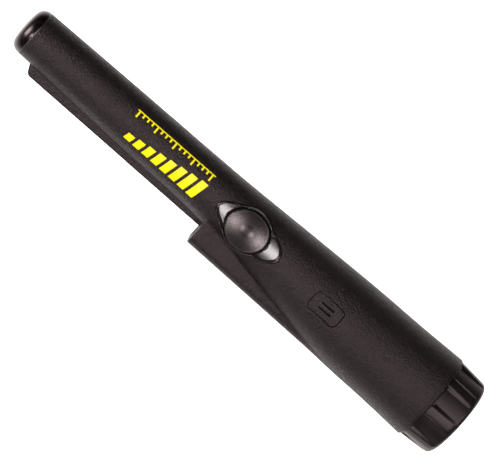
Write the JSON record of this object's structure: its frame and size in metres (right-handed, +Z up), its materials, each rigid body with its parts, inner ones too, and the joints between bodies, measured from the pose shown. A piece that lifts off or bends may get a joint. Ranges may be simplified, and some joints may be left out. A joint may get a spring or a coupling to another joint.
{
  "type": "pinpointer probe",
  "caption": "Hand-held pinpointer probe: tapered tube and handle, side scraping blade, lamp in a hood, one push button and a screw-off battery cap.",
  "frame": {"origin": "middle of the battery cap's flat end face, on which the probe stands", "axes": "+Z up along the handle to the nose, -Y out of the push button, -X towards the scraping blade and the lamp hood"},
  "size_m": [0.038, 0.038, 0.2286],
  "materials": {
    "shell": "fine moulded grain, satin",
    "bezel": "polished",
    "button": "satin",
    "rubber": "matt",
    "foam": "open-cell foam",
    "battery_sleeve": "printed steel jacket, plain",
    "nickel": "nickel plate",
    "steel": "zinc plated",
    "nylon": "natural nylon",
    "circuit_board": "solder mask",
    "chip": "moulded epoxy",
    "capacitor_sleeve": "shrink sleeve",
    "clear": "clear",
    "ferrite": "sintered, matt",
    "copper": "enamelled copper wire",
    "red_wire": "insulation",
    "black_wire": "insulation",
    "yellow_wire": "insulation"
  },
  "bodies": {
    "housing": {"housing": "shell", "contact_positive": "nickel", "contact_negative": "nickel", "chassis": "nylon", "chassis_screw_left": "steel", "chassis_screw_right": "steel", "main_board": "circuit_board", "board_screw_1": "steel", "board_screw_2": "steel", "processor": "chip", "amplifier": "chip", "crystal": "steel", "capacitor_supply": "capacitor_sleeve", "capacitor_filter": "capacitor_sleeve", "push_switch": "chip", "button_spring": "steel", "button_bezel": "bezel", "bezel_gasket": "rubber", "sounder_grille": "shell", "sounder_mesh": "foam", "sounder": "chip", "lamp_lens": "clear", "lamp": "clear", "ferrite_rod": "ferrite", "coil_former": "nylon", "receive_winding": "copper", "transmit_winding": "copper", "nose_pad": "foam", "vibration_motor": "steel", "motor_boot": "rubber", "battery_lead_red": "red_wire", "battery_lead_black": "black_wire", "motor_lead_red": "red_wire", "motor_lead_black": "black_wire", "lamp_lead_red": "red_wire", "lamp_lead_black": "black_wire", "sounder_lead_red": "red_wire", "sounder_lead_black": "black_wire", "coil_lead_yellow": "yellow_wire", "coil_lead_black": "black_wire"},
    "cap_ring": {"cap_o_ring": "rubber"},
    "cap": {"battery_cap": "shell", "battery_pad": "foam"},
    "battery": {"battery": "battery_sleeve", "battery_snap_positive": "nickel", "battery_snap_negative": "nickel"},
    "button": {"button": "button", "push_switch_stem": "nylon"},
    "motor_rotor": {"motor_shaft": "steel", "eccentric_weight": "nickel"}
  },
  "joints": [
    {"name": "button_press", "type": "slide", "parent": "housing", "child": "button", "axis": [0, 1, 0], "range_m": [0, 0.0006], "stiffness_N_per_m": 2000, "springref_m": -0.0005, "deforming": ["button_spring"]},
    {"name": "cap_travel", "type": "slide", "parent": "housing", "child": "cap_ring", "axis": [0, 0, -1], "range_m": [0, 0.072]},
    {"name": "cap_turn", "type": "hinge", "parent": "cap_ring", "child": "cap", "pos_m": [0, 0, 0], "axis": [0, 0, -1], "range_deg": [0, 1440]},
    {"name": "battery_slide", "type": "slide", "parent": "housing", "child": "battery", "axis": [0, 0, -1], "range_m": [0, 0.0576]},
    {"name": "motor_spin", "type": "hinge", "parent": "housing", "child": "motor_rotor", "pos_m": [0.0033, 0.0068, 0.1], "axis": [0, 0, 1], "continuous": true}
  ],
  "couplings": [
    {"joint": "cap_turn", "follows": "cap_travel", "rad_per_m": 349.07},
    {"joint": "battery_slide", "follows": "cap_travel", "ratio": 0.8}
  ]
}
